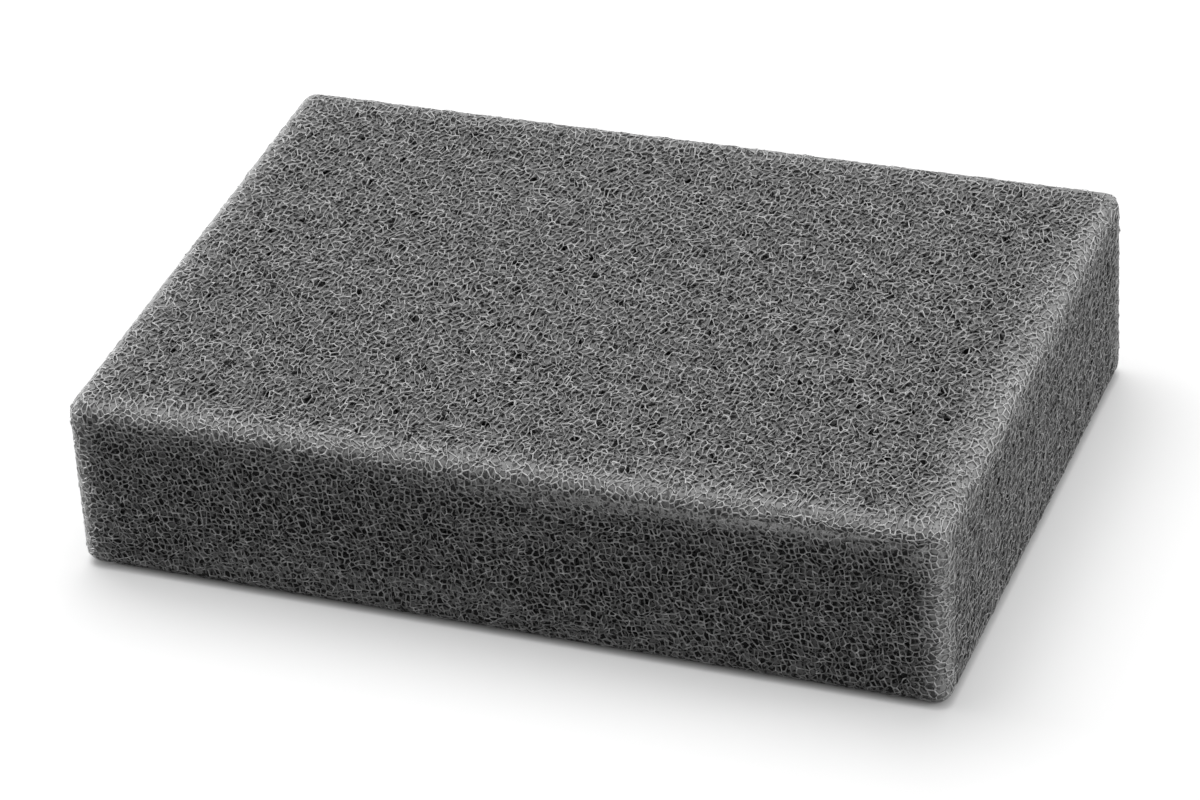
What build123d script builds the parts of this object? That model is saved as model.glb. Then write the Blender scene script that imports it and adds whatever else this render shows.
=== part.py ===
from build123d import *
import os
import random
from math import cos, pi, radians, sin

# A cut block of open-cell foam. The origin is at the centre of its underside, with the long
# edges along X, the short ones along Y and the thickness along Z. All sizes are in millimetres.

# The block as it was cut. It is thinnest at the front left corner. From there the knife ran a
# little out of level, and the top rises by about a degree to the right and to the back.
length = 150.0
depth = 104.0
thinnest = 32.0
rise_to_right = 2.0
rise_to_back = 2.0
edge_radius = 3.0

# The larger open pores, where a cut goes through the middle of a big cell. Each one is a pocket
# of four to six flat walls. They lie on a staggered grid, and each drifts off its place.
pore_widths = (1.7, 2.3)
pore_sides = (4, 5, 6)
pore_depth = 1.2
pore_spacing = 7.6
pore_drift = 2.3
pore_edge_clearance = 0.8
pore_seed = 20


def corner(side, end, height):
    """The point at that height above a corner of the underside. Side and end are -1 or 1."""
    return Vector(side * length / 2, end * depth / 2, height)


def direction(start, finish):
    """The unit vector that points from one point to another."""
    return (finish - start).normalized()


def pore_cutter(width, sides):
    """The solid that one pore takes away, with its mouth on the XY plane."""
    with BuildPart(mode=Mode.PRIVATE) as cutter:
        with BuildSketch(Plane.XY):
            RegularPolygon(radius=width / 2, side_count=sides)
        extrude(amount=-pore_depth)
    return cutter.part


def pores_on(face, width, start_height, end_height):
    """The cutters of one face, whose plane starts at a corner of the face and points outwards.
    The face is that wide, and its height goes from start_height to end_height across its width."""
    inset = edge_radius + pore_edge_clearance + max(pore_widths) / 2
    row_step = pore_spacing * sin(radians(60))
    rows = int(max(start_height, end_height) / row_step) + 1
    columns = int(width / pore_spacing) + 1
    placed = []
    for row in range(rows):
        for column in range(columns):
            bearing = chance.uniform(0, 2 * pi)
            drift = chance.uniform(0, pore_drift)
            turn = chance.uniform(0, 360)
            cutter = chance.choice(cutters)
            across = inset + (column + row % 2 / 2) * pore_spacing + drift * cos(bearing)
            up = inset + row * row_step + drift * sin(bearing)
            height = start_height + (end_height - start_height) * across / width
            if inset <= across <= width - inset and inset <= up <= height - inset:
                placed.append(cutter.moved(face.location * Location((across, up, 0), (0, 0, turn))))
    return placed


# The heights of the four corners, and the plane of the top through three of them
height_front_left = thinnest
height_front_right = thinnest + rise_to_right
height_back_left = thinnest + rise_to_back
height_back_right = thinnest + rise_to_right + rise_to_back
top_front_left = corner(-1, -1, height_front_left)
top_front_right = corner(1, -1, height_front_right)
top_back_left = corner(-1, 1, height_back_left)
top_right_way = direction(top_front_left, top_front_right)
top_normal = top_right_way.cross(direction(top_front_left, top_back_left))
top_face = Plane(origin=top_front_left, x_dir=top_right_way, z_dir=top_normal)
top_length = (top_front_right - top_front_left).length
top_depth = (top_back_left - top_front_left).length
tallest = max(height_front_left, height_front_right, height_back_left, height_back_right)

# The four sides stand upright, and each plane starts at the side's lower left corner
front_face = Plane(origin=corner(-1, -1, 0), x_dir=(1, 0, 0), z_dir=(0, -1, 0))
right_face = Plane(origin=corner(1, -1, 0), x_dir=(0, 1, 0), z_dir=(1, 0, 0))
back_face = Plane(origin=corner(1, 1, 0), x_dir=(-1, 0, 0), z_dir=(0, 1, 0))
left_face = Plane(origin=corner(-1, 1, 0), x_dir=(0, -1, 0), z_dir=(-1, 0, 0))

# The pores, laid out face by face
chance = random.Random(pore_seed)
cutters = [pore_cutter(width, sides) for width in pore_widths for sides in pore_sides]
pores = [
    *pores_on(top_face, top_length, top_depth, top_depth),
    *pores_on(front_face, length, height_front_left, height_front_right),
    *pores_on(right_face, depth, height_front_right, height_back_right),
    *pores_on(back_face, length, height_back_right, height_back_left),
    *pores_on(left_face, depth, height_back_left, height_front_left),
]

with BuildPart() as foam_block:
    with BuildSketch(Plane.XY):
        Rectangle(length, depth)
    extrude(amount=tallest)
    split(bisect_by=top_face, keep=Keep.BOTTOM)
    fillet(foam_block.edges(), radius=edge_radius)
    add(pores, mode=Mode.SUBTRACT)

os.makedirs("parts", exist_ok=True)
foam_block.part.label = "foam_block"
export_step(foam_block.part, "parts/foam_block.step")
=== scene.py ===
import math
from itertools import product

import bpy
import numpy as np
from mathutils import Matrix, Vector


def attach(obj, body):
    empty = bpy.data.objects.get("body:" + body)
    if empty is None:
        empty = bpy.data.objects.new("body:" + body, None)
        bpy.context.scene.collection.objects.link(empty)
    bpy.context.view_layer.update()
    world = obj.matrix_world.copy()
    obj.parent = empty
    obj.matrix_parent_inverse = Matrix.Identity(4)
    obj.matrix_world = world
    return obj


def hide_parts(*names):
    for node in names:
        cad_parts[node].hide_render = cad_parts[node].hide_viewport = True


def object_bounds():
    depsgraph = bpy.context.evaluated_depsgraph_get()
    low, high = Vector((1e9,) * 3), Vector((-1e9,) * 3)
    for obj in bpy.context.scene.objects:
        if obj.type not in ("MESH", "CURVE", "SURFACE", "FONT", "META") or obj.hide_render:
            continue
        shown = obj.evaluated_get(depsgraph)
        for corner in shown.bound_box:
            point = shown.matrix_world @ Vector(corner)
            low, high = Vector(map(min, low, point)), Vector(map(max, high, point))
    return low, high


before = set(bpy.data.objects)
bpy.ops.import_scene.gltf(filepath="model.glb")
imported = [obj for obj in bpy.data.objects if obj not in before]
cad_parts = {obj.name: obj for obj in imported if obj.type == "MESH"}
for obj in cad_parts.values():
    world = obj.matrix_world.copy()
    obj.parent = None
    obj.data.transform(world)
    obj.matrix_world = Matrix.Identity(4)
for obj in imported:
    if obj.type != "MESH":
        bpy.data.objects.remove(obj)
cad_low, cad_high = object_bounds()

bl_info = {
    "name": "Foam cushion",
    "version": (1, 0, 0),
    "blender": (4, 5, 0),
    "location": "View3D > Sidebar > Foam cushion",
    "description": "Models a cut block of open-cell foam, its network of struts and a plain studio",
    "category": "Object",
}

BLOCK = "foam_block"
LENGTH, DEPTH, HEIGHT = (cad_high[k] - cad_low[k] for k in range(3))


def linear(hex_value):
    """An sRGB hex value as the linear colour that Blender's shaders take."""
    shares = [int(hex_value[k:k + 2], 16) / 255 for k in (0, 2, 4)]
    return tuple(c / 12.92 if c <= 0.04045 else ((c + 0.055) / 1.055) ** 2.4 for c in shares) + (1.0,)


class FoamSizes(bpy.types.PropertyGroup):
    """Sizes of the block and of its cells"""

    edge_radius: bpy.props.FloatProperty(
        name="Edge radius", description="Rounding of every edge of the block",
        default=0.003, unit="LENGTH")
    cell_width: bpy.props.FloatProperty(
        name="Cell width", description="Mean width of one bubble of the foam",
        default=0.00106, unit="LENGTH")
    cell_stretch: bpy.props.FloatProperty(
        name="Cell stretch", description="Length of a bubble from front to back, in widths",
        default=1.9, min=0.5)
    strut_width: bpy.props.FloatProperty(
        name="Strut width", description="Width of the threads between the windows of the foam",
        default=0.0002, unit="LENGTH")
    network_depth: bpy.props.FloatProperty(
        name="Network depth", description="How deep the modelled struts reach below the cut surface",
        default=0.00033, unit="LENGTH")
    body_inset: bpy.props.FloatProperty(
        name="Body inset", description="Depth of the closed foam that shows behind the struts",
        default=0.00046, unit="LENGTH")
    edge_inset: bpy.props.FloatProperty(
        name="Edge inset",
        description="Depth of the closed foam along the rounded edges, where fewer cells are open",
        default=0.00027, unit="LENGTH")
    cut_waver: bpy.props.FloatProperty(
        name="Cut waver", description="How far the cut runs in and out from cell to cell",
        default=0.00006, unit="LENGTH")
    unevenness: bpy.props.FloatProperty(
        name="Unevenness",
        description="How far the cells stray from a regular packing, with 1 as in the photograph",
        default=1.0, min=0.0)
    seed: bpy.props.IntProperty(
        name="Seed", description="Start of the random draws", default=5)


class FoamColours(bpy.types.PropertyGroup):
    """Colours of the foam"""

    strut: bpy.props.FloatVectorProperty(
        name="Strut", description="Struts at the cut surface",
        default=linear("bebebe"), size=4, min=0.0, max=1.0, subtype="COLOR")
    # Painted shade: struts are drawn darker the deeper they lie
    shaded_deep_strut: bpy.props.FloatVectorProperty(
        name="Deep strut", description="The deepest struts",
        default=linear("7a7a7a"), size=4, min=0.0, max=1.0, subtype="COLOR")
    # Painted light: struts along the rounded edges are drawn paler
    lit_edge_strut: bpy.props.FloatVectorProperty(
        name="Edge strut", description="Struts along the rounded edges",
        default=linear("d2d2d2"), size=4, min=0.0, max=1.0, subtype="COLOR")
    # Partly real and partly painted shade: the cell walls are drawn darker than the struts, for the shade
    # deeper in
    shaded_film: bpy.props.FloatVectorProperty(
        name="Film", description="Cell walls behind the struts",
        default=linear("5a5a5a"), size=4, min=0.0, max=1.0, subtype="COLOR")
    film_ring: bpy.props.FloatVectorProperty(
        name="Film ring", description="Curved struts that are drawn on the cell walls",
        default=linear("a4a4a4"), size=4, min=0.0, max=1.0, subtype="COLOR")
    film_corner: bpy.props.FloatVectorProperty(
        name="Film corner", description="Cell walls where several of them meet",
        default=linear("787878"), size=4, min=0.0, max=1.0, subtype="COLOR")
    # Painted light: cell walls along the rounded edges are drawn paler
    lit_edge_film: bpy.props.FloatVectorProperty(
        name="Edge film", description="Cell walls along the rounded edges",
        default=linear("a2a2a2"), size=4, min=0.0, max=1.0, subtype="COLOR")
    # Painted shade: openings into the next cells are drawn near-black
    hollow_shade: bpy.props.FloatVectorProperty(
        name="Hollow", description="Openings between the cells",
        default=linear("060606"), size=4, min=0.0, max=1.0, subtype="COLOR")


class StudioSettings(bpy.types.PropertyGroup):
    """Light and camera"""

    sky: bpy.props.FloatProperty(
        name="Sky", description="Strength of the even light from all round", default=0.18)
    key: bpy.props.FloatProperty(
        name="Key light", description="Strength of the large lamp above and behind",
        default=10.0, unit="POWER")
    side: bpy.props.FloatProperty(
        name="Side light", description="Strength of the lamp on the right",
        default=3.2, unit="POWER")
    rim: bpy.props.FloatProperty(
        name="Rim light", description="Strength of the low lamp on the left",
        default=6.0, unit="POWER")
    lens: bpy.props.FloatProperty(
        name="Lens", description="Focal length of the camera, in mm on a 36 mm frame",
        default=156.66, unit="CAMERA")


def add_node(material, kind, settings=None, **inputs):
    """Adds a node, sets its properties and its inputs, and links the inputs that are given as outputs."""
    node = material.node_tree.nodes.new(kind)
    for name, value in (settings or {}).items():
        setattr(node, name, value)
    for name, value in inputs.items():
        socket = node.inputs[int(name[1:])] if name[0] == "_" else node.inputs[name.replace("_", " ")]
        if isinstance(value, bpy.types.NodeSocket):
            material.node_tree.links.new(value, socket)
        else:
            socket.default_value = value
    return node


def empty_material(name):
    """A material with no node in it yet."""
    material = bpy.data.materials.new(name)
    material.use_nodes = True
    material.node_tree.nodes.clear()
    return material


def set_ramp(node, stops):
    """Gives a colour ramp its stops, as pairs of a position and a linear colour."""
    while len(node.color_ramp.elements) < len(stops):
        node.color_ramp.elements.new(0.5)
    for element, (position, colour) in zip(node.color_ramp.elements, stops):
        element.position = position
        element.color = colour


# The block

# The closed foam lies deeper under the flat faces than under the roundings. Its depth changes over this
# share of the edge radius, and this share of the change is done where the rounding starts.
CHANGE_WIDTH = 0.5
CHANGE_AT_START = 0.3
# Roundings this near to the floor, to the left end or to the back, as a share of the edge radius, stand
# against the bright floor. There the closed foam is at this share of its depth, so that no gap shows.
OUTLINE_NEAR = 0.9
OUTLINE_INSET = 0.4


def mesh_points(mesh):
    """The places of a mesh's points, one in each row."""
    return np.array([v.co for v in mesh.vertices])


def corner_height(side_x, side_y):
    """Height of the cut top above one corner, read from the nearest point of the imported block."""
    points = mesh_points(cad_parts[BLOCK].data)
    radius = bpy.context.scene.foam_sizes.edge_radius
    x = side_x * (LENGTH / 2 - radius)
    y = side_y * (DEPTH / 2 - radius)
    near = np.argmin(np.linalg.norm(points - (x, y, HEIGHT), axis=1))
    return float(points[near, 2])


def top_plane():
    """The top's height at the middle and its rise per metre to the right and to the back."""
    radius = bpy.context.scene.foam_sizes.edge_radius
    left, right = corner_height(-1, -1), corner_height(1, -1)
    back = corner_height(-1, 1)
    middle = (corner_height(1, 1) + left) / 2
    return middle, (right - left) / (LENGTH - 2 * radius), (back - left) / (DEPTH - 2 * radius)


def past_roundings(points, plane, radius):
    """How far points lie past the start of the roundings: lengthways, from front to back, and upright."""
    middle, to_right, to_back = plane
    height = middle + points[:, 0] * to_right + points[:, 1] * to_back
    return np.stack([
        np.abs(points[:, 0]) - (LENGTH / 2 - radius),
        np.abs(points[:, 1]) - (DEPTH / 2 - radius),
        np.abs(points[:, 2] - height / 2) - (height / 2 - radius)], axis=1)


def block_distance(points, plane, radius):
    """Signed distance from the rounded surface of the block, below zero inside it."""
    past = past_roundings(points, plane, radius)
    return np.linalg.norm(np.maximum(past, 0), axis=1) + np.minimum(past.max(axis=1), 0) - radius


def drawn_in(points, plane, sizes):
    """Points of the block moved inwards to the closed foam behind the struts, except on the underside."""
    # The way out is where the distance grows, measured this far to each side, in metres
    reach = 1e-5
    radius = sizes.edge_radius
    rises = [block_distance(points + step, plane, radius) - block_distance(points - step, plane, radius)
             for step in reach * np.eye(3)]
    outward = np.stack(rises, axis=1) / (2 * reach)
    outward[:, 2] = np.maximum(outward[:, 2], 0)
    rounding = np.sort(past_roundings(points, plane, radius), axis=1)[:, 1]
    share = np.clip(rounding / (CHANGE_WIDTH * radius) + CHANGE_AT_START, 0, 1)
    near = OUTLINE_NEAR * radius
    low = points[:, 2] < near
    left = points[:, 0] < near - LENGTH / 2
    back = points[:, 1] > DEPTH / 2 - near
    edge = np.where(low | left | back, OUTLINE_INSET, 1.0) * sizes.edge_inset
    inset = sizes.body_inset + (edge - sizes.body_inset) * share
    return points - outward * inset[:, None]


# The network of struts. It is made as meshes from numbers, because no operator builds a froth.

# Turn of the packing, in radians about an axis, so that no row of cells runs along the block
PACKING_TURN = 0.7
PACKING_AXIS = (0.4, 0.7, 0.3)
# Cells are kept this far above the cut and below the deepest struts, in cell widths
CELLS_ABOVE = 1.3
CELLS_BELOW = 1.6
# Waves that bend the packing: how many, the shortest and the longest in cell widths, and their slope
BENDING_WAVES = ((10, 8.0, 16.0, 0.14), (24, 1.9, 5.5, 0.47))
# Waves by which the cut runs in and out: how many, and the shortest and the longest in cell widths
CUT_WAVES = (16, 1.6, 3.2)
# How far each joint strays by itself, in cell widths
JOINT_STRAY = 0.10
# Depth of the cut, in strut widths and in wavers, because struts stand out from it by their own thickness
CUT_BY_STRUT = 0.45
CUT_BY_WAVER = 0.5
# A joint's corners lie this far from its middle, in strut widths, times a random thickness
CORNER_REACH = 0.66
THICKNESS_SPREAD = (0.8, 1.25)
# How far the ways that no strut takes turn at random from the middle of the gap between the others
SPARE_STRAY = 0.3
# Added to the seed, so that each of these draws starts elsewhere
JOINT_DRAW, CORNER_DRAW, CUT_DRAW = 1, 2, 3
# A joint has up to four ways out, and a corner opposite each of them. A strut grows from the other three.
WAYS_OUT = 4
REST = np.array([(1, 2, 3), (0, 2, 3), (0, 1, 3), (0, 1, 2)])
# Near the floor, struts are kept only in a strip along the sides, where they show. In metres: how high
# the strip reaches, how wide it is, its corner radius, and the least height of a strut's middle.
STRIP_HEIGHT = 0.0012
STRIP_WIDTH = 0.0022
STRIP_CORNER = 0.001
FLOOR_CLEARANCE = 0.0002
# A height between the roundings of the underside and of the top, in metres
MID_HEIGHT = 0.01
# A piece for each third of the top and for each side
CELL_PIECES = ("cells_top_left", "cells_top_middle", "cells_top_right", "cells_front", "cells_back",
               "cells_left_end", "cells_right_end")


def wander(points, cell, unevenness, seed):
    """Moves points by a sum of waves, long ones that turn the packing and short ones that vary the cells."""
    draw = np.random.default_rng(seed)
    moved = points.copy()
    for count, shortest, longest, slope in BENDING_WAVES:
        for _ in range(count):
            way = draw.normal(size=3)
            wave = way / np.linalg.norm(way) * 2 * math.pi / (draw.uniform(shortest, longest) * cell)
            size = draw.normal(size=3) * slope / np.linalg.norm(wave) * math.sqrt(2 / count) * unevenness
            moved += np.sin(points @ wave + draw.uniform(0, 2 * math.pi))[:, None] * size
    return moved


def waver(points, sizes):
    """A height that varies from cell to cell, by which the cut runs in and out."""
    count, shortest, longest = CUT_WAVES
    draw = np.random.default_rng(sizes.seed + CUT_DRAW)
    height = np.zeros(len(points))
    for _ in range(count):
        way = draw.normal(size=3)
        wave = way / np.linalg.norm(way) * 2 * math.pi / (draw.uniform(shortest, longest) * sizes.cell_width)
        height += np.sin(points @ wave + draw.uniform(0, 2 * math.pi))
    return height * sizes.cut_waver / math.sqrt(count / 2)


def window_offsets():
    """Corners of seven of a cell's fourteen windows, in quarter steps from its middle.

    The other seven are its neighbours'. Three of them have four corners and four have six."""
    four = [np.roll([(2, 1, 0), (2, 0, 1), (2, -1, 0), (2, 0, -1)], turn, axis=1) for turn in range(3)]
    ring = np.array([(0, 1, 2), (0, 2, 1), (1, 2, 0), (2, 1, 0), (2, 0, 1), (1, 0, 2)])
    six = [ring * (1, side, other) for side, other in product((1, -1), repeat=2)]
    return four, six


def packed_cells(plane, sizes):
    """Cells packed as in a froth: the places of their corners, and their windows as rings of corners."""
    cell, depth = sizes.cell_width, sizes.network_depth
    # Two cells fill a cube of this side: one round its corners and one at its middle
    step = cell * 2 ** (1 / 3)
    quarter = step / 4
    turn = np.array(Matrix.Rotation(PACKING_TURN, 3, PACKING_AXIS))
    stretch = np.array((1, sizes.cell_stretch, 1))
    margin = 3 * cell
    low = np.array((-LENGTH / 2, -DEPTH / 2, 0)) - margin
    high = np.array((LENGTH / 2, DEPTH / 2, HEIGHT)) + margin
    corners = np.array(list(product(*zip(low, high)))) / stretch @ turn
    first = np.floor(corners.min(axis=0) / step).astype(int)
    last = np.ceil(corners.max(axis=0) / step).astype(int)
    grid = np.stack(np.meshgrid(*[np.arange(a, b) for a, b in zip(first, last)], indexing="ij"), axis=-1)
    cubes = grid.reshape(-1, 3) * 4
    middles = np.concatenate([cubes, cubes + 2])
    places = middles * quarter @ turn.T * stretch
    roughly = block_distance(places, plane, sizes.edge_radius)
    near = (roughly < margin) & (roughly > -depth - margin - cell)
    middles, places = middles[near], places[near]
    distance = block_distance(wander(places, cell, sizes.unevenness, sizes.seed), plane, sizes.edge_radius)
    middles = middles[(distance < CELLS_ABOVE * cell) & (distance > -depth - CELLS_BELOW * cell)]
    four, six = window_offsets()
    rings = [(middles[:, None] + offsets[None]).reshape(-1, 3) for offsets in four + six]
    lengths = [len(offsets) for offsets in four + six]
    keys = np.concatenate(rings)
    # Corners that cells share get one number: the span is more quarter steps than the block has
    span = 8192
    flat = ((keys[:, 0] + span // 2) * span + keys[:, 1] + span // 2) * span + keys[:, 2] + span // 2
    _, where, back = np.unique(flat, return_index=True, return_inverse=True)
    points = wander(keys[where] * quarter @ turn.T * stretch, cell, sizes.unevenness, sizes.seed)
    draw = np.random.default_rng(sizes.seed + JOINT_DRAW)
    points += draw.normal(size=points.shape) * cell * JOINT_STRAY * sizes.unevenness
    windows, start = [], 0
    for length in lengths:
        count = len(middles) * length
        windows.append(back[start:start + count].reshape(-1, length))
        start += count
    return points, [np.concatenate(windows[:len(four)]), np.concatenate(windows[len(four):])]


def cut_network(points, windows, plane, sizes):
    """Struts below the cut surface, and the lines that the cut draws through the windows.

    Gives the places of the joints and, for each strut, its two joints."""
    level = block_distance(points, plane, sizes.edge_radius) + sizes.strut_width * CUT_BY_STRUT
    level += waver(points, sizes) + sizes.cut_waver * CUT_BY_WAVER
    rings = [np.stack([w, np.roll(w, -1, axis=1)], axis=-1) for w in windows]
    sides = np.sort(np.concatenate([r.reshape(-1, 2) for r in rings]), axis=1)
    keys, back = np.unique(sides[:, 0] * len(points) + sides[:, 1], return_inverse=True)
    a, b = keys // len(points), keys % len(points)
    crossing = (level[a] < 0) != (level[b] < 0)
    share = level[a[crossing]] / (level[a[crossing]] - level[b[crossing]])
    cuts = points[a[crossing]] + (points[b[crossing]] - points[a[crossing]]) * share[:, None]
    cut_number = np.full(len(keys), -1)
    cut_number[crossing] = len(points) + np.arange(crossing.sum())
    inside = (level[a] < 0) & (level[b] < 0)
    struts = [np.stack([a[inside], b[inside]], axis=1)]
    below = np.where(level[a] < 0, a, b)
    struts.append(np.stack([below[crossing], cut_number[crossing]], axis=1))
    # A window that the cut crosses gets a line from side to side
    start = 0
    for ring in rings:
        count = ring.shape[0] * ring.shape[1]
        cut = cut_number[back[start:start + count]].reshape(ring.shape[:2])
        start += count
        two = (cut >= 0).sum(axis=1) == 2
        struts.append(np.sort(cut[two], axis=1)[:, -2:])
    return np.concatenate([points, cuts]), np.concatenate(struts)


def joint_frames(places, struts, width, seed):
    """Each joint's four ways out, the four corners that struts grow from, and each strut's two corners."""
    ends = np.concatenate([struts[:, 0], struts[:, 1]])
    others = np.concatenate([struts[:, 1], struts[:, 0]])
    order = np.argsort(ends, kind="stable")
    first = np.searchsorted(ends[order], np.arange(len(places)))
    rank = np.empty(len(ends), int)
    rank[order] = np.arange(len(ends)) - first[ends[order]]
    ways = np.zeros((len(places), WAYS_OUT, 3))
    fits = rank < WAYS_OUT
    along = places[others[fits]] - places[ends[fits]]
    ways[ends[fits], rank[fits]] = along / np.maximum(np.linalg.norm(along, axis=1, keepdims=True), 1e-9)
    draw = np.random.default_rng(seed)
    spare = draw.normal(size=ways.shape) * SPARE_STRAY - ways.sum(axis=1, keepdims=True)
    missing = np.linalg.norm(ways, axis=2) < 0.5
    ways[missing] = spare[missing] / np.linalg.norm(spare[missing], axis=1, keepdims=True)
    thickness = width * CORNER_REACH * draw.uniform(*THICKNESS_SPREAD, size=(len(places), 1, 1))
    corners = places[:, None] - ways * thickness
    count = len(struts)
    return ways, corners, np.stack([rank[:count], rank[count:]], axis=1)


def faced(triangles, corners, way):
    """Turns triangles, given as corner numbers, so that each runs anticlockwise about its way."""
    at = corners[triangles]
    normal = np.cross(at[:, 1] - at[:, 0], at[:, 2] - at[:, 0])
    wrong = (normal * way).sum(axis=1) < 0
    triangles[wrong] = triangles[wrong][:, (0, 2, 1)]
    return triangles


def strut_faces(places, struts, ranks, ways, corners):
    """Three sides for each strut, and an end cap wherever a joint has no strut."""
    flat = corners.reshape(-1, 3)
    way = places[struts[:, 1]] - places[struts[:, 0]]
    near = faced(struts[:, :1] * WAYS_OUT + REST[ranks[:, 0]], flat, way)
    far = faced(struts[:, 1:] * WAYS_OUT + REST[ranks[:, 1]], flat, way)
    # The far end starts at the corner that twists the strut least
    at_near = flat[near] - places[struts[:, 0]][:, None]
    at_far = flat[far] - places[struts[:, 1]][:, None]
    twist = [((at_near - np.roll(at_far, -k, axis=1)) ** 2).sum(axis=(1, 2)) for k in range(3)]
    best = np.argmin(twist, axis=0)
    far = np.take_along_axis(far, (np.arange(3)[None] + best[:, None]) % 3, axis=1)
    sides = np.stack([near, np.roll(near, -1, axis=1), np.roll(far, -1, axis=1), far], axis=2)
    used = np.zeros((len(places), WAYS_OUT), bool)
    used[struts[:, 0], ranks[:, 0]] = True
    used[struts[:, 1], ranks[:, 1]] = True
    joints = np.unique(struts)
    node, slot = np.nonzero(~used[joints])
    node = joints[node]
    caps = faced(node[:, None] * WAYS_OUT + REST[slot], flat, ways[node, slot])
    return sides.reshape(-1, 4), caps


def network_mesh(name, places, struts, ranks, ways, corners, shade):
    """One piece of the network as a closed mesh, with each point's shade kept as an attribute."""
    sides, caps = strut_faces(places, struts, ranks, ways, corners)
    numbers, back = np.unique(np.concatenate([sides.ravel(), caps.ravel()]), return_inverse=True)
    mesh = bpy.data.meshes.new(name)
    mesh.vertices.add(len(numbers))
    mesh.vertices.foreach_set("co", corners.reshape(-1, 3)[numbers].astype(np.float32).ravel())
    mesh.loops.add(len(back))
    mesh.loops.foreach_set("vertex_index", back.astype(np.int32).ravel())
    sizes = np.concatenate([np.full(len(sides), 4), np.full(len(caps), 3)])
    mesh.polygons.add(len(sizes))
    mesh.polygons.foreach_set("loop_start", (np.cumsum(sizes) - sizes).astype(np.int32))
    mesh.update(calc_edges=True)
    mesh.validate()
    mesh.shade_smooth()
    for key, values in shade.items():
        attribute = mesh.attributes.new(key, "FLOAT", "POINT")
        attribute.data.foreach_set("value", values[numbers // WAYS_OUT].astype(np.float32))
    piece = bpy.data.objects.new(name, mesh)
    bpy.context.scene.collection.objects.link(piece)
    return piece


def off_the_underside(middle, plane):
    """Whether each strut, given by its middle, is high enough or near enough to the sides to show."""
    at_mid_height = middle * (1, 1, 0) + (0, 0, MID_HEIGHT)
    in_strip = block_distance(at_mid_height, plane, STRIP_CORNER) > -STRIP_WIDTH
    return ((middle[:, 2] > STRIP_HEIGHT) | in_strip) & (middle[:, 2] > FLOOR_CLEARANCE)


def piece_numbers(middle, plane):
    """Which of the cell pieces each strut belongs to, by the face of the block that is nearest."""
    gaps = np.stack([
        (plane[0] + middle[:, 0] * plane[1] + middle[:, 1] * plane[2]) - middle[:, 2],
        middle[:, 1] + DEPTH / 2,
        DEPTH / 2 - middle[:, 1],
        middle[:, 0] + LENGTH / 2,
        LENGTH / 2 - middle[:, 0]], axis=1)
    face = np.argmin(gaps, axis=1)
    # The top is three pieces, so the numbers of the other faces move up by two
    third = np.clip(np.floor((middle[:, 0] / LENGTH + 0.5) * 3).astype(int), 0, 2)
    return np.where(face == 0, third, face + 2)


# Materials

# How pale the foam is painted, as painted light, from 0 to 1, at distances in mm past the start of a
# rounding: on the edges round the top, and on the upright edges
LEVEL_EDGE_LIGHT = ((-6.0, 0.0), (-4.0, 0.08), (-2.0, 0.26), (-1.0, 0.34), (0.0, 0.44), (1.0, 0.68),
              (2.0, 0.95))
UPRIGHT_EDGE_LIGHT = ((-6.0, 0.0), (-4.0, 0.04), (-2.0, 0.26), (0.0, 0.78), (1.0, 0.95), (2.0, 1.0))
# Polyurethane's own IOR, with the weak sheen that threads as thin as these have
POLYURETHANE = {"IOR": 1.5, "Specular_IOR_Level": 0.15}
# Width of the mottled patches on the struts, in metres. Real foam varies from strut to strut, which is
# too fine to show, so the patches are as wide as a cell.
MOTTLE_WIDTH = 0.001
# The darkest and the palest patch, as a share of the strut's colour, at these values of the noise
MOTTLE_DARK, MOTTLE_PALE = 0.74, 1.18
NOISE_LOW, NOISE_HIGH = 0.3, 0.7
# Widths of the patterns on the closed foam, in cell widths: a ringed cell is as wide as a real one, and
# an opening into the next cell is a little over half as wide
RING_WIDTH = 1.05
OPENING_WIDTH = 0.62
# Where a ring starts, is palest and ends, and where cells meet, as a share of the ringed cell's width
RING_START, RING_MIDDLE, RING_END, CELLS_MEET = 0.38, 0.43, 0.48, 0.62
# Painted shade by facing: what is added to the pattern of the openings on surfaces that face lengthways,
# to the front or back, and up, so that front and back get more dark openings than the ends and the top:
# above zero closes cells, and below zero opens them
SHADE_BY_FACING = (0.03, -0.045, 0.006)
# The pattern's level at which an opening starts and the one at which the foam is closed
OPEN_BELOW, CLOSED_ABOVE = 0.43, 0.46
# Share of an opening's painted shade that is lost along the rounded edges, under their painted light
EDGE_SHADE_LOSS = 0.5
# How deep an opening looks, in metres
OPENING_DEPTH = 0.0004
# Greys of the board: to the camera, on top of its glow, and in the light that it throws back
BOARD_SEEN = (0.70, 0.70, 0.70, 1)
BOARD_THROWN = (0.42, 0.42, 0.42, 1)
# Width of the painted contact shadow, a dark line where the block meets the board, in metres
CONTACT_SHADE_WIDTH = 0.0016
# The board's glow grows between these distances from the middle of the block, in metres, so that its
# shadow stays soft near the block and the board turns to plain white at the horizon
GLOW_FROM, GLOW_TO = 0.25, 0.6
GLOW_NEAR, GLOW_FAR = 0.33, 1.0


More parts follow.
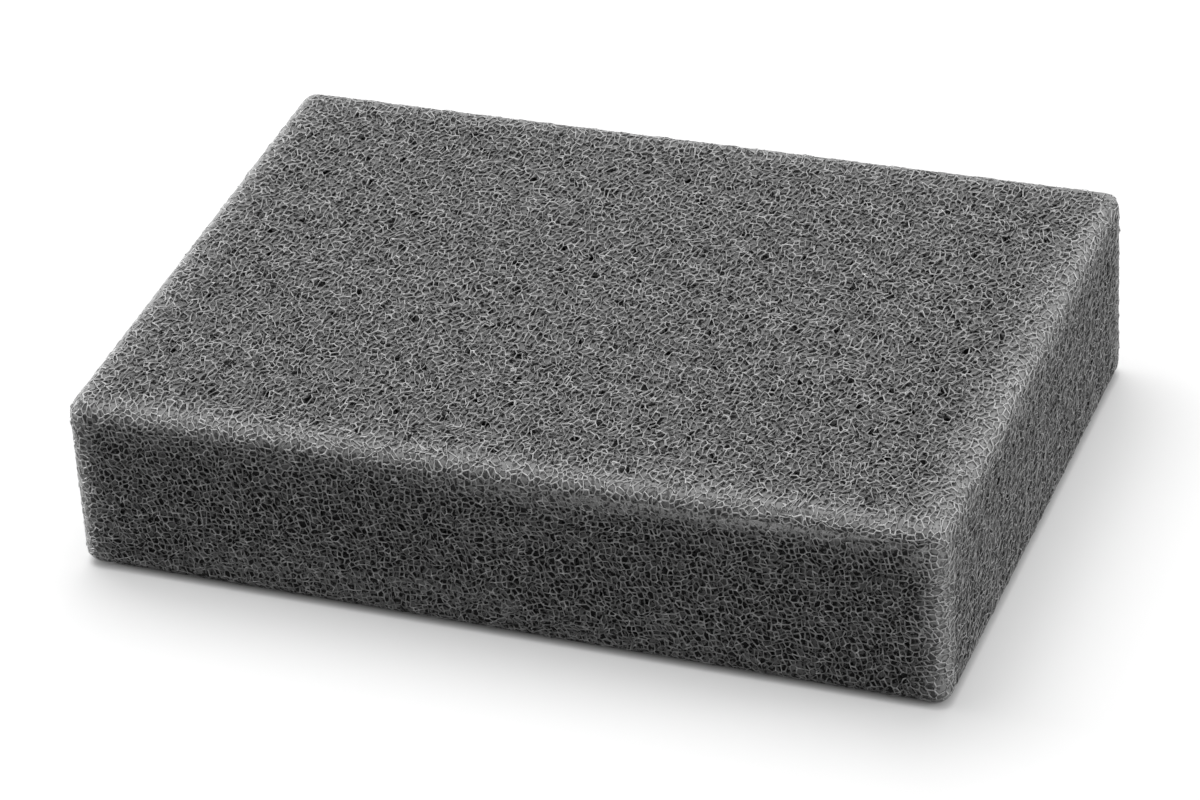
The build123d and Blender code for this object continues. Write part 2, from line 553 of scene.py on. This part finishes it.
def edge_light_share(material, place, plane):
    """How much painted light a point takes near an upright edge or one round the top, from 0 on flat faces
    to 1.
    """
    radius = bpy.context.scene.foam_sizes.edge_radius
    middle, to_right, to_back = plane
    size = add_node(material, "ShaderNodeVectorMath", {"operation": "ABSOLUTE"}, _0=place)
    apart = add_node(material, "ShaderNodeSeparateXYZ", _0=size.outputs[0])
    rise = add_node(material, "ShaderNodeVectorMath", {"operation": "DOT_PRODUCT"},
                    _0=place, _1=(-to_right, -to_back, 1.0))

    def combined(operation, a, b):
        return add_node(material, "ShaderNodeMath", {"operation": operation}, _0=a, _1=b).outputs[0]

    end = combined("SUBTRACT", apart.outputs[0], LENGTH / 2 - radius)
    side = combined("SUBTRACT", apart.outputs[1], DEPTH / 2 - radius)
    top = combined("SUBTRACT", rise.outputs["Value"], middle - radius)
    level = combined("MINIMUM", top, combined("MAXIMUM", end, side))
    upright = combined("MINIMUM", end, side)
    lowest, highest = -2 * radius, radius
    shares = []
    for inward, stops in ((level, LEVEL_EDGE_LIGHT), (upright, UPRIGHT_EDGE_LIGHT)):
        reach = add_node(material, "ShaderNodeMapRange", Value=inward, From_Min=lowest, From_Max=highest)
        ramp = add_node(material, "ShaderNodeValToRGB", _0=reach.outputs[0])
        set_ramp(ramp, [((millimetres / 1000 - lowest) / (highest - lowest), (share, share, share, 1))
                        for millimetres, share in stops])
        shares.append(ramp.outputs[0])
    return combined("MAXIMUM", *shares)


def cut_foam_material():
    """Cut polyurethane foam: dull grey struts, painted paler along the rounded edges as light and darker
    inside as shade.
    """
    colours = bpy.context.scene.foam_colours
    material = empty_material("polyurethane_foam_cut")
    depth = add_node(material, "ShaderNodeAttribute", {"attribute_name": "depth"})
    # Painted shade: from the strut colour at the surface to the darker deep-strut colour with depth
    ramp = add_node(material, "ShaderNodeValToRGB", _0=depth.outputs["Fac"])
    set_ramp(ramp, ((0.0, colours.strut), (1.0, colours.shaded_deep_strut)))
    place = add_node(material, "ShaderNodeTexCoord")
    mottle = add_node(material, "ShaderNodeTexNoise", Vector=place.outputs["Object"],
                      Scale=1 / MOTTLE_WIDTH, Detail=2.0)
    spread = add_node(material, "ShaderNodeMapRange", Value=mottle.outputs[0],
                      From_Min=NOISE_LOW, From_Max=NOISE_HIGH, To_Min=MOTTLE_DARK, To_Max=MOTTLE_PALE)
    mottled = add_node(material, "ShaderNodeMix", {"data_type": "RGBA", "blend_type": "MULTIPLY"},
                       _0=1.0, _6=ramp.outputs[0], _7=spread.outputs[0])
    # Painted light: the struts turn paler along the rounded edges
    share = edge_light_share(material, place.outputs["Object"], top_plane())
    pale = add_node(material, "ShaderNodeMix", {"data_type": "RGBA"},
                    _0=share, _6=mottled.outputs[2], _7=colours.lit_edge_strut)
    surface = add_node(material, "ShaderNodeBsdfPrincipled", Base_Color=pale.outputs[2],
                       Roughness=0.6, **POLYURETHANE)
    add_node(material, "ShaderNodeOutputMaterial", Surface=surface.outputs[0])
    return material


def inner_foam_material():
    """The same foam deeper in, painted darker as shade: grey films with ringed cells, and dark openings into
    the next cells.
    """
    colours = bpy.context.scene.foam_colours
    cell = bpy.context.scene.foam_sizes.cell_width
    material = empty_material("polyurethane_foam_inner")
    place = add_node(material, "ShaderNodeTexCoord")
    cells = add_node(material, "ShaderNodeTexVoronoi", {"feature": "F1"},
                     Vector=place.outputs["Object"], Scale=1 / (RING_WIDTH * cell))
    lines = add_node(material, "ShaderNodeValToRGB", _0=cells.outputs["Distance"])
    set_ramp(lines, ((RING_START, colours.shaded_film), (RING_MIDDLE, colours.film_ring),
                     (RING_END, colours.shaded_film), (CELLS_MEET, colours.film_corner)))
    holes = add_node(material, "ShaderNodeTexNoise", Vector=place.outputs["Object"],
                     Scale=1 / (OPENING_WIDTH * cell), Detail=1.0)
    geometry = add_node(material, "ShaderNodeNewGeometry")
    # Painted shade that varies with the way a surface faces
    facing = add_node(material, "ShaderNodeVectorMath", {"operation": "ABSOLUTE"},
                      _0=geometry.outputs["Normal"])
    closed = add_node(material, "ShaderNodeVectorMath", {"operation": "DOT_PRODUCT"},
                      _0=facing.outputs[0], _1=SHADE_BY_FACING)
    cover = add_node(material, "ShaderNodeMath", {"operation": "ADD"},
                     _0=holes.outputs[0], _1=closed.outputs["Value"])
    opening = add_node(material, "ShaderNodeMapRange", Value=cover.outputs[0],
                       From_Min=OPEN_BELOW, From_Max=CLOSED_ABOVE, To_Min=1.0, To_Max=0.0)
    # Painted light: the cell walls turn paler along the rounded edges
    share = edge_light_share(material, place.outputs["Object"], top_plane())
    pale = add_node(material, "ShaderNodeMix", {"data_type": "RGBA"},
                    _0=share, _6=lines.outputs[0], _7=colours.lit_edge_film)
    # Painted light along the edges takes away part of the openings' painted shade
    kept = add_node(material, "ShaderNodeMath", {"operation": "MULTIPLY_ADD"},
                    _0=share, _1=-EDGE_SHADE_LOSS, _2=1.0)
    opening_shade_share = add_node(material, "ShaderNodeMath", {"operation": "MULTIPLY"},
                         _0=opening.outputs[0], _1=kept.outputs[0])
    # Painted shade: the openings are drawn near-black
    colour = add_node(material, "ShaderNodeMix", {"data_type": "RGBA"},
                      _0=opening_shade_share.outputs[0], _6=pale.outputs[2], _7=colours.hollow_shade)
    bump = add_node(material, "ShaderNodeBump", {"invert": True}, Strength=0.5,
                    Distance=OPENING_DEPTH, Height=opening.outputs[0])
    surface = add_node(material, "ShaderNodeBsdfPrincipled", Base_Color=colour.outputs[2],
                       Roughness=0.75, Normal=bump.outputs[0], **POLYURETHANE)
    add_node(material, "ShaderNodeOutputMaterial", Surface=surface.outputs[0])
    return material


def seen_directly(material):
    """One for what the camera sees, also in a reflection or through glass, and zero for scattered light."""
    path = add_node(material, "ShaderNodeLightPath")
    mirrored = add_node(material, "ShaderNodeMath", {"operation": "MAXIMUM"},
                        _0=path.outputs["Is Glossy Ray"], _1=path.outputs["Is Transmission Ray"])
    seen = add_node(material, "ShaderNodeMath", {"operation": "MAXIMUM"},
                    _0=path.outputs["Is Camera Ray"], _1=mirrored.outputs[0])
    return seen.outputs[0]


def floor_material():
    """Matt white board, drawn as white to the camera and as grey in the light that it throws back."""
    material = empty_material("matt_white_board")
    seen = add_node(material, "ShaderNodeBsdfDiffuse", Color=BOARD_SEEN)
    # Painted contact shadow: the glow darkens where the block hides the board
    near = add_node(material, "ShaderNodeAmbientOcclusion", Distance=CONTACT_SHADE_WIDTH)
    place = add_node(material, "ShaderNodeTexCoord")
    away = add_node(material, "ShaderNodeVectorMath", {"operation": "LENGTH"}, _0=place.outputs["Object"])
    strength = add_node(material, "ShaderNodeMapRange", Value=away.outputs["Value"],
                        From_Min=GLOW_FROM, From_Max=GLOW_TO, To_Min=GLOW_NEAR, To_Max=GLOW_FAR)
    glow = add_node(material, "ShaderNodeEmission", Color=near.outputs["Color"],
                    Strength=strength.outputs[0])
    pale = add_node(material, "ShaderNodeAddShader", _0=seen.outputs[0], _1=glow.outputs[0])
    thrown = add_node(material, "ShaderNodeBsdfDiffuse", Color=BOARD_THROWN)
    both = add_node(material, "ShaderNodeMixShader", _0=seen_directly(material),
                    _1=thrown.outputs[0], _2=pale.outputs[0])
    add_node(material, "ShaderNodeOutputMaterial", Surface=both.outputs[0])
    return material


# Pieces

# Adjoining facets of the closed foam that meet at less than this angle, in degrees, are shaded as one
SMOOTH_ANGLE = 25
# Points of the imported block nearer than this, in metres, are merged
MERGE_WITHIN = 1e-6
# Place and width of each square lamp, in metres, by the setting that holds its strength
LAMPS = {
    "key": ((-0.22, 0.24, 0.95), 0.9),
    "side": ((0.9, 0.0, 0.35), 0.5),
    "rim": ((-0.85, -0.05, 0.055), 0.1),
}
FLOOR_WIDTH = 6.0
# The camera's turn to the right, its height and its roll, in degrees
CAMERA_ANGLES = (21.912, 33.011, -3.573)
# How far it is from its target, and where that is, in metres
CAMERA_DISTANCE = 0.9008
CAMERA_TARGET = (-0.0089, 0.0181, 0)


def finish_piece(piece, material):
    """Gives a piece its material, lets it ride on the root and hides the imported block."""
    piece.data.materials.clear()
    piece.data.materials.append(material)
    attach(piece, "root")
    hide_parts(BLOCK)


class FOAM_OT_body(bpy.types.Operator):
    """Closed foam that shows behind the struts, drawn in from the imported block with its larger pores"""

    bl_idname = "foam.body"
    bl_label = "Foam body"

    def execute(self, context):
        bpy.ops.object.select_all(action="DESELECT")
        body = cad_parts[BLOCK].copy()
        body.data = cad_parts[BLOCK].data.copy()
        body.name = body.data.name = "foam_body"
        for key in list(body.keys()):
            del body[key]
        body.parent = None
        context.scene.collection.objects.link(body)
        context.view_layer.objects.active = body
        body.select_set(True)
        bpy.ops.object.mode_set(mode="EDIT")
        bpy.ops.mesh.select_all(action="SELECT")
        bpy.ops.mesh.remove_doubles(threshold=MERGE_WITHIN)
        bpy.ops.object.mode_set(mode="OBJECT")
        points = drawn_in(mesh_points(body.data), top_plane(), context.scene.foam_sizes)
        body.data.vertices.foreach_set("co", points.astype(np.float32).ravel())
        body.data.update()
        bpy.ops.object.shade_smooth_by_angle(angle=math.radians(SMOOTH_ANGLE))
        finish_piece(body, inner_foam_material())
        return {"FINISHED"}


class FOAM_OT_cells(bpy.types.Operator):
    """Struts of the open cells, cut off at the surface, in a piece for each part of the surface"""

    bl_idname = "foam.cells"
    bl_label = "Open cells"

    def execute(self, context):
        sizes = context.scene.foam_sizes
        plane = top_plane()
        points, windows = packed_cells(plane, sizes)
        places, struts = cut_network(points, windows, plane, sizes)
        ways, corners, ranks = joint_frames(places, struts, sizes.strut_width, sizes.seed + CORNER_DRAW)
        middle = (places[struts[:, 0]] + places[struts[:, 1]]) / 2
        level = block_distance(middle, plane, sizes.edge_radius)
        keep = (level > -sizes.network_depth) | (struts.min(axis=1) >= len(points))
        keep &= ranks.max(axis=1) < WAYS_OUT
        keep &= off_the_underside(middle, plane)
        struts, ranks = struts[keep], ranks[keep]
        joint_depth = -block_distance(places, plane, sizes.edge_radius)
        # Depth below the cut surface, by which the material paints deeper struts darker as shade
        shade = {"depth": np.clip(joint_depth / sizes.network_depth, 0, 1)}
        material = cut_foam_material()
        part = piece_numbers(middle[keep], plane)
        for number, name in enumerate(CELL_PIECES):
            own = part == number
            piece = network_mesh(name, places, struts[own], ranks[own], ways, corners, shade)
            finish_piece(piece, material)
        return {"FINISHED"}


class FOAM_OT_studio(bpy.types.Operator):
    """Pale floor, soft light from above, the right and the left, and the camera at the photograph's angle"""

    bl_idname = "foam.studio"
    bl_label = "Studio"

    def execute(self, context):
        settings = context.scene.foam_studio
        bpy.ops.object.select_all(action="DESELECT")
        bpy.ops.mesh.primitive_plane_add(size=FLOOR_WIDTH)
        floor = context.object
        floor.name = floor.data.name = "floor"
        floor.data.materials.append(floor_material())
        self.sky(context, settings)
        for name, (place, width) in LAMPS.items():
            self.lamp(context, name + "_light", place, width, getattr(settings, name))
        self.camera(context, settings)
        context.scene.view_settings.view_transform = "Standard"
        return {"FINISHED"}

    def sky(self, context, settings):
        """Even white light, seen by the camera as plain white."""
        world = bpy.data.worlds.new("studio")
        world.use_nodes = True
        world.node_tree.nodes.clear()
        seen = add_node(world, "ShaderNodeBackground", Color=(1, 1, 1, 1), Strength=1.0)
        thrown = add_node(world, "ShaderNodeBackground", Color=(1, 1, 1, 1), Strength=settings.sky)
        both = add_node(world, "ShaderNodeMixShader", _0=seen_directly(world),
                        _1=thrown.outputs[0], _2=seen.outputs[0])
        add_node(world, "ShaderNodeOutputWorld", Surface=both.outputs[0])
        context.scene.world = world

    def lamp(self, context, name, place, width, power):
        """A square lamp that points at the middle of the block."""
        bpy.ops.object.light_add(type="AREA", location=place)
        lamp = context.object
        lamp.name = lamp.data.name = name
        lamp.data.shape = "SQUARE"
        lamp.data.size = width
        lamp.data.energy = power
        away = Vector(place) - Vector((0, 0, HEIGHT / 2))
        lamp.rotation_euler = away.to_track_quat("Z", "Y").to_euler()
        lamp.visible_camera = False

    def camera(self, context, settings):
        """A long lens from the front right, looking down by about a third of a right angle."""
        turn, above, roll = (math.radians(angle) for angle in CAMERA_ANGLES)
        away = Vector((math.sin(turn) * math.cos(above), -math.cos(turn) * math.cos(above), math.sin(above)))
        across = Vector((math.cos(turn), math.sin(turn), 0))
        upward = away.cross(across)
        right = math.cos(roll) * across + math.sin(roll) * upward
        up = math.cos(roll) * upward - math.sin(roll) * across
        place = Vector(CAMERA_TARGET) + away * CAMERA_DISTANCE
        bpy.ops.object.camera_add()
        camera = context.object
        camera.name = camera.data.name = "camera"
        camera.matrix_world = Matrix.Translation(place) @ Matrix((right, up, away)).transposed().to_4x4()
        camera.data.lens = settings.lens
        camera.data.sensor_width = 36.0
        camera.data.clip_start = 0.05
        context.scene.camera = camera


class FOAM_PT_cushion(bpy.types.Panel):
    """Lists the sizes, the colours and the pieces of the cushion"""

    bl_idname = "FOAM_PT_cushion"
    bl_label = "Foam cushion"
    bl_space_type = "VIEW_3D"
    bl_region_type = "UI"
    bl_category = "Foam cushion"

    def draw(self, context):
        for group in (context.scene.foam_sizes, context.scene.foam_colours, context.scene.foam_studio):
            column = self.layout.column(heading=group.rna_type.name)
            for name in group.__annotations__:
                column.prop(group, name)
        for operator in OPERATORS:
            self.layout.operator(operator.bl_idname)


OPERATORS = (FOAM_OT_body, FOAM_OT_cells, FOAM_OT_studio)
GROUPS = {"foam_sizes": FoamSizes, "foam_colours": FoamColours, "foam_studio": StudioSettings}


def register():
    for kind in (*GROUPS.values(), *OPERATORS, FOAM_PT_cushion):
        bpy.utils.register_class(kind)
    for name, group in GROUPS.items():
        setattr(bpy.types.Scene, name, bpy.props.PointerProperty(type=group))


def unregister():
    for name in GROUPS:
        delattr(bpy.types.Scene, name)
    for kind in (FOAM_PT_cushion, *OPERATORS, *GROUPS.values()):
        bpy.utils.unregister_class(kind)


def main():
    register()
    bpy.ops.foam.body()
    bpy.ops.foam.cells()
    bpy.ops.foam.studio()


if __name__ == "__main__":
    main()
